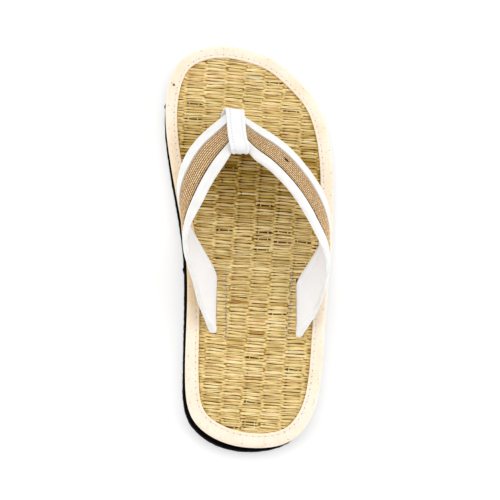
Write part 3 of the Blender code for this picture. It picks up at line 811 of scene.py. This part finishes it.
def make_mat(straw, warp):
    loops = mat_loops()
    levels = straw_levels(loops)
    vary = straw_variety(levels)
    pale = PALE * ease(levels, PALE_FROM, PALE_TO)
    padded = np.concatenate([[levels[0] - 1.1], levels, [levels[-1] + 1.1]])
    nominal = COLUMN_START + COLUMN * np.array(COLUMNS)[:, None] + COLUMN_PLACES
    part, (side, rise) = COLUMN_PLACES / COLUMN, STRAW_SECTION.T
    mesh = Mesh()
    for k, level in enumerate(levels):
        sign = (-1) ** k
        moved = nominal + vary.dive[k, :-1, None] * (1 - part) + vary.dive[k, 1:, None] * part
        outer_start, outer_end = spans(loops[:1], level)[0]
        for start, end in spans(loops, level):
            if end - start < SHORTEST_STRAW:
                continue
            inside = (moved > start + 0.3) & (moved < end - 0.3)
            along = np.concatenate([[start], moved[inside], [end]])
            unmoved = np.interp(along, moved.ravel(), nominal.ravel())
            column = column_of(unmoved)
            over = np.tanh(WEAVE_SHARPNESS * weave(unmoved) * sign) / math.tanh(WEAVE_SHARPNESS)
            afloat = np.clip(over / FULL_FLOAT, 0, 1)
            hollow = vary.open_line[k + 1, column] * np.clip(-over / FULL_FLOAT, 0, 1)

            pinch = vary.notch[k, column] * notches(unmoved) * (over > -0.1) + PASS_BELOW * (over < 0)
            below, above = np.where(afloat > 0, vary.lines[k : k + 3 : 2, column] / 2, LINE_BELOW) + pinch
            high, low = padded[k + 2] - above, padded[k] + below
            wander = 0.09 * ripple(pairs(along, level * 9), 7.0, 41)
            turn = np.sin(2 * math.pi * (unmoved - COLUMN_START) / COLUMN)
            lean = vary.tilt[k, column] * turn * (over > 0)
            middle = ((high + low) / 2 + wander + sway(along, level) + lean)[:, None]
            half = (high - low) / 2
            across = middle + half[:, None] * side

            crown = np.clip(half, 0.7, 1.2)[:, None]
            groove = (vary.groove[k, column] * afloat)[:, None] * (side == 0)
            centre = MAT_MIDDLE + MAT_RISE * over + vary.lift[k] - OPEN_SINK * hollow
            points = from_mat(along[:, None], across, centre[:, None] + crown * rise - groove)

            edges = np.zeros(across.shape)
            edges[:, [0, -1]] = np.clip(np.column_stack([below, above]) / DARK_LINE, FAINT_LINE, 1.0)
            from_edge = np.minimum(along - outer_start, outer_end - along) - MAT_TUCK
            shade = (1 - edges) * ease(over, -1.05, -0.05)[:, None]
            # painted shade: darker in open lines, under the strap's V and in the grooves
            shade *= ((1 - 0.85 * hollow) * (1 - vary.worn[k, column]))[:, None] * (1 - 1.6 * groove)
            shade *= (0.4 + 0.6 * ease(from_edge, -0.4, 1.0))[:, None]
            tone = (vary.tone[k] + vary.float_tone[k, column] + pale[k])[:, None]
            spots = pairs(along[:, None], across - middle + 7.3 * k)
            mesh.add_rod(points, spots, tone=tone, shade=shade)
    mesh.finish("straw_mat", straw, crease=75)
    make_warp(loops, levels, vary.open_line[1:-1], warp)


def make_warp(loops, levels, open_line, material):
    """Cotton threads up the mat, two to a column, which show in the lines that stand open."""
    mesh = Mesh()
    even = np.arange(len(levels)) % 2 == 0
    for number, column in enumerate(COLUMNS):
        for aside in (-WARP_ASIDE, WARP_ASIDE):
            along = COLUMN_START + (column + 0.5) * COLUMN + aside
            below = ~even if weave(along) > 0 else even
            shown = below & open_line[:, number]
            height, radius = np.where(shown, *WARP_HEIGHTS), np.where(shown, *WARP_RADII)
            up = levels + sway(along, levels)
            for start, end in spans(loops, along, axis=0):
                chosen = (levels > start) & (levels < end)
                if chosen.sum() >= 3:
                    line = from_mat(np.array([along]), up[chosen], height[chosen])
                    mesh.add_rod(tube(line, radius[chosen], 4))
    mesh.finish("mat_warp_threads", material)


def make_mat_stitches(material, hole):
    """Rows of thread through the mat that hold the ends of the strap under it."""
    draw = np.random.default_rng(51)
    mesh, holes = Mesh(), Mesh()
    for x0, y0, x1, y1, zigzag in MAT_STITCH_ROWS:
        count = max(2, round(math.hypot(x1 - x0, y1 - y0) / MAT_STITCH))
        ends = np.linspace((x0, y0), (x1, y1), count + 1)
        ends[:, 0] += zigzag * np.where(np.arange(count + 1) % 2, 1, -1) + draw.normal(0, 0.12, count + 1)
        for start, end in zip(ends, ends[1:]):
            flat = stitch_line(start, end, 0.06)
            line = np.column_stack([flat, footbed(flat[:, 1]) + 0.1 + 1.16 * STITCH_ARCH**0.4])
            mesh.add_rod(tube(line, 0.25))
            add_pinhole(holes, np.array([*start, footbed(start[1]) + 0.72]), draw.uniform(0.4, 0.62), 0.0)
    mesh.finish("mat_stitches", material)
    holes.finish("mat_stitch_holes", hole)


# --- Straps ---


def strap_lines(rows):
    """Front edge, rear edge, outward normal, further columns and length along, at any rows."""
    table = np.array(STRAP)
    for edge in (0, 3):
        table[:, edge + 2] += footbed(table[:, edge + 1])
    knots = lengths_along((table[:, :3] + table[:, 3:6]) / 2)
    at = spline(knots, table)
    fine_rows = np.linspace(0, LAST_ROW, 12 * LAST_ROW + 1)
    fine_places = np.interp(fine_rows, np.arange(len(STRAP)), knots)
    fine = at(fine_places)
    along = np.gradient((fine[:, :3] + fine[:, 3:6]) / 2, fine_places, axis=0)
    normal = -unit(np.cross(along, fine[:, 3:6] - fine[:, :3]))
    places = np.interp(rows, np.arange(len(STRAP)), knots)
    line = at(places)
    return line[:, :3], line[:, 3:6], between(places, fine_places, normal), line[:, 6:], places


def strap_grid(rows, across, out):
    """Points of the strap and their places on it in mm, from grids of places across and heights out."""
    front, rear, normal, shape, places = strap_lines(rows)
    crown, fullness, jute_front, jute_rear = shape.T[:, :, None]
    bed = (across - JUTE_FRONT) / (JUTE_REAR - JUTE_FRONT)
    moved = jute_front + bed * (jute_rear - jute_front)
    moved = np.where(bed < 0, across * jute_front / JUTE_FRONT, moved)
    across = np.where(bed > 1, 1 - (1 - across) * (1 - jute_rear) / (1 - JUTE_REAR), moved)
    bulge = crown * 4 * across * (1 - across)
    points = front[:, None] + (rear - front)[:, None] * across[..., None]
    points = points + normal[:, None] * (bulge + out * fullness)[..., None]
    width = np.linalg.norm(rear - front, axis=1)[:, None]
    return points, pairs(across * width, places[:, None])


def make_straps(cloth):
    """The padded V: two soft rolls with the jute's bed between them, and the inner cloth behind, with
    painted light on the strap's two ends and painted shade along one stitched groove.
    """
    section = np.array(STRAP_SECTION)
    place, height = section.T
    rows = np.linspace(0, LAST_ROW, 14 * LAST_ROW + 1)
    across = np.broadcast_to(place, (len(rows), len(section))).copy()
    out = np.broadcast_to(height, across.shape).copy()
    for row, middle, length, width, depth in STRAP_CREASES:
        crease = np.exp(-(((rows[:, None] - row) / length) ** 2) - ((across - middle) / width) ** 2)
        out += depth * crease * np.where(height > 0, 1, -0.7)
    padding = (np.abs(height) > 0.7).astype(float)
    spot = pairs(rows[:, None] * ROW_LENGTH, across * STRAP_WIDTH + 40 * (height > 0))
    out += padding * unevenness(spot, STRAP_WAVES)

    from_end = np.minimum(rows, LAST_ROW - rows)[:, None]
    swell, pucker, flare = (
        bell(from_end, row, length) * ease(across, start, end)
        for row, length, start, end in (TIP_SWELL, TIP_PUCKER, TIP_FLARE)
    )
    outer = np.clip((height + 1.1) / 2.2, 0, 1)
    out *= 1 + SWELL * swell
    out -= PUCKER * (1 - outer) * pucker
    out += np.where(rows < APEX_ROW, *FLARES)[:, None] * outer * flare
    across += TIP_REACH * pucker

    # painted shade along the inner cloth's rear seam, fading out near the strap's ends
    seam = (np.isclose(height, -SEAM_DEPTH) & (place > 0.5)) * ease(from_end - 1.8)
    lining = ((height < -0.8) & (place < 0.87)).astype(float)
    # painted light: the strap's two ends are whitened like the inner cloth
    lining = np.maximum(lining, ease(2.6 - from_end) * ease(place, 0.6, 0.8))
    mesh = Mesh()
    mesh.add_rod(*strap_grid(rows, across, out), seam=seam, lining=lining)
    straps = mesh.finish("padded_straps", cloth)
    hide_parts("upper")


def make_jute(name, first, last, seed, material, flaw=None):
    """Webbing of cords in its bed between the white rolls, bound by a fine cross thread."""
    rows = np.linspace(first, last, int((last - first) * 54) + 1)
    cords = np.linspace(0, JUTE_CORDS, JUTE_CORDS * 6 + 1)
    bed = JUTE_REAR - JUTE_FRONT - 2 * JUTE_CLEARANCE
    across = np.tile(JUTE_FRONT + JUTE_CLEARANCE + bed * cords / JUTE_CORDS, (len(rows), 1))
    length = strap_lines(rows)[4][:, None]
    lane = np.minimum(np.floor(cords), JUTE_CORDS - 1)
    edge = np.minimum(cords, JUTE_CORDS - cords)
    ridge = np.sin(math.pi * (cords - lane)) ** 1.2
    beat = 0.5 + 0.5 * np.cos(2 * math.pi * length / BEAT + math.pi * lane)
    spot = pairs(length, across * STRAP_WIDTH)
    uneven = ripple(spot, 2.2, seed)
    # rise also sets the colour: painted shade where it is low, between the cords and at the band's edges
    rise = np.clip(ridge * (0.66 + 0.34 * beat) + 0.1 * uneven * ridge, 0, 1) * ease(edge / 0.7)
    fall = np.clip(edge / 0.5, 0, 1)
    out = JUTE_TOP - 0.4 + 0.5 * rise - 0.5 * (1 - fall) ** 2 + 0.05 * ripple(spot, 9.0, seed + 1)
    if flaw:
        row, place, long, wide = flaw
        hole = np.exp(-(((rows[:, None] - row) / long) ** 2 + ((across - place) / wide) ** 2) ** 2)
        out = out - 0.7 * hole
        rise = rise * (1 - hole) - 0.6 * hole
    across = np.concatenate([across, across[:, [-1, 0]]], axis=1)
    back = ((0, 0), (0, 2))
    out = np.pad(out, back, constant_values=JUTE_TOP - 0.85)
    mesh = Mesh()
    mesh.add_rod(*strap_grid(rows, across, out), rise=np.pad(rise, back))
    band = mesh.finish(name, material)
    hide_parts(name.replace("jute_webbing", "jute_band"))


def squared(values, power):
    """Sines or cosines of a circle that is squared into a flat tape."""
    return np.sign(values) * np.abs(values) ** power


def make_loop(cloth, thread):
    """Folded tape through the footbed, round the apex and back, with soft creases, one of them stitched, and
    painted shade in two of them.
    """
    table = np.array(LOOP)
    knots = lengths_along(table[:, :3])

    def place_of(row):
        return np.interp(row, np.arange(len(LOOP)), knots)

    places = np.linspace(0, knots[-1], 181)
    line = spline(knots, table)(places)
    centre = line[:, :3].copy()
    centre[:, 2] += footbed(centre[:, 1])
    turn = np.radians(line[:, 4])
    sideways = np.column_stack([np.cos(turn), np.sin(turn), np.zeros_like(turn)])
    outward = unit(np.cross(sideways, np.gradient(centre, places, axis=0)))
    half = line[:, 3][:, None] / 2

    angles = np.linspace(0, 2 * math.pi, 73)[:-1]
    thick = squared(np.sin(angles), 0.55)
    across = np.broadcast_to(squared(np.cos(angles), 0.42), (len(places), len(angles)))
    # painted shade in the creases at the seam and at the hem
    seam = 0.12 * bell(across, LOOP_SEAM, 0.05) + 0.25 * bell(across, LOOP_HEM, 0.05)
    creases = sum(depth * bell(across, middle, width) for middle, width, depth in LOOP_CREASES)
    lump = 0.08 * ripple(pairs(places[:, None] * 0.35, across * 6.0), 2.4, 71)
    out = thick * (LOOP_WALL / 2 - 0.05) - np.sign(thick) * creases + lump * np.sign(thick)
    fold = bell(places, place_of(LOOP_FOLD), FOLD_REACH)[:, None]
    points = centre[:, None] + sideways[:, None] * (across * half)[..., None]
    points = points + outward[:, None] * out[..., None]
    points[..., 1] -= FOLD_DEPTH * np.cos(2.6 * math.pi * across + 0.4) * fold
    mesh = Mesh()
    mesh.add_rod(points, pairs(across * half, places[:, None]), seam=seam)
    loop = mesh.finish("loop_tape", cloth)
    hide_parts("toe_loop")

    stitches = Mesh()
    seam_line = centre + sideways * (LOOP_SEAM * half) - outward * (LOOP_WALL / 2 - 0.22)
    for start in np.arange(*map(place_of, LOOP_STITCHED), LOOP_STITCH):
        part = start + np.linspace(0.7, 1.5, 6)
        arch = 0.2 * np.sin(np.linspace(0, math.pi, 6)) - 0.06
        path = between(part, places, seam_line) - between(part, places, outward) * arch[:, None]
        stitches.add_rod(tube(path, 0.24))
    stitches.finish("loop_stitches", thread)


# --- Stage ---

FLOOR_SIZE, FLOOR_TONE, FLOOR_GLOW = 60.0, 0.62, 0.45  # m across, grey, and strength of its glow
SKY = 0.125
LIGHT_ANGLE = 60.0  # degrees across each light
LIGHTS = (
    # name, direction that it comes from, energy
    ("toe_key", (0.0, 0.6, 1.0), 1.42),
    ("toe_rim", (0.0, 1.0, 0.45), 0.3),
    ("lateral_side", (1.0, 0.1, 0.5), 1.9),
    ("medial_side", (-1.0, 0.1, 0.5), 1.62),
    ("heel_fill", (0.0, -1.0, 0.15), 1.5),
)

CAMERA_PLACE = (-61.9, -183.2, 1301.3)  # mm
CAMERA_TILT, CAMERA_TURN = 8.0, 2.73  # degrees: back from straight above, and aside to the slipper
FRAME_WIDTH, CAMERA_DISTANCE = 340.0, 1300.0  # mm across the frame, and how far away that is


def make_stage():
    bpy.ops.mesh.primitive_plane_add(size=FLOOR_SIZE)
    floor = bpy.context.object
    floor.name = "floor"
    tone = (FLOOR_TONE, FLOOR_TONE, FLOOR_TONE, 1.0)
    glow = {"Emission_Color": (1.0, 1.0, 1.0, 1.0), "Emission_Strength": FLOOR_GLOW}
    f = Finish("floor_white", 0.9, Base_Color=tone, Specular_IOR_Level=0.1, **glow)
    floor.data.materials.append(f.material)


def make_lights():
    """Broad soft lights all round, over a weak sky."""
    scene = bpy.context.scene
    world = bpy.data.worlds.new("studio")
    scene.world = world
    world.use_nodes = True
    background = world.node_tree.nodes["Background"]
    background.inputs["Color"].default_value = (1.0, 1.0, 1.0, 1.0)
    background.inputs["Strength"].default_value = SKY
    for name, source, energy in LIGHTS:
        light = bpy.data.lights.new(name, "SUN")
        light.energy, light.angle = energy, math.radians(LIGHT_ANGLE)
        made = bpy.data.objects.new(name, light)
        made.rotation_euler = Vector(source).to_track_quat("Z", "Y").to_euler()
        scene.collection.objects.link(made)
    scene.view_settings.view_transform = "Standard"


def make_camera():
    tilt, turn = math.radians(CAMERA_TILT), math.radians(CAMERA_TURN)
    down = Vector((0, math.sin(tilt), -math.cos(tilt)))
    up = Vector((0, math.cos(tilt), math.sin(tilt)))
    lateral = Vector((1, 0, 0))
    forward = down * math.cos(turn) + lateral * math.sin(turn)
    right = lateral * math.cos(turn) - down * math.sin(turn)
    data = bpy.data.cameras.new("photo_view")
    data.sensor_width = 36.0
    data.lens = data.sensor_width * CAMERA_DISTANCE / FRAME_WIDTH
    camera = bpy.data.objects.new("photo_view", data)
    axes = Matrix((right, up, -forward)).transposed()
    camera.matrix_world = Matrix.Translation(Vector(CAMERA_PLACE) * MM) @ axes.to_4x4()
    bpy.context.scene.collection.objects.link(camera)
    bpy.context.scene.camera = camera


def main():
    make_outsole()
    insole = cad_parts["insole"]
    insole.data.materials.clear()
    insole.data.materials.append(backing_shade_finish())
    make_binding()
    make_binding_stitches(
        thread_finish("binding_thread", (250, 240, 224), (226, 208, 180)),
        thread_finish("pinhole_shade", (150, 142, 134), (108, 102, 94)),
        thread_finish("pit_shade", (44, 36, 30), (24, 20, 16)),
    )
    make_mat(straw_finish(), thread_finish("cotton_thread", (240, 218, 164), (204, 178, 122)))
    make_mat_stitches(
        thread_finish("grey_thread", (214, 200, 178), (160, 144, 118)),
        thread_finish("stitch_shade", (120, 98, 58), (74, 56, 28)),
    )
    make_straps(padding_finish())
    jute = jute_finish()
    make_jute("jute_webbing_medial", SLIT_CLEAR, APEX_ROW - APEX_CLEAR, 81, jute)
    make_jute("jute_webbing_lateral", APEX_ROW + APEX_CLEAR, LAST_ROW - SLIT_CLEAR, 91, jute, JUTE_FLAW)
    tape = padding_finish("white_tape", (246, 246, 246))
    make_loop(tape, thread_finish("white_thread", (220, 220, 228), (192, 192, 204)))
    make_stage()
    make_lights()
    make_camera()


main()
bpy.context.view_layer.update()
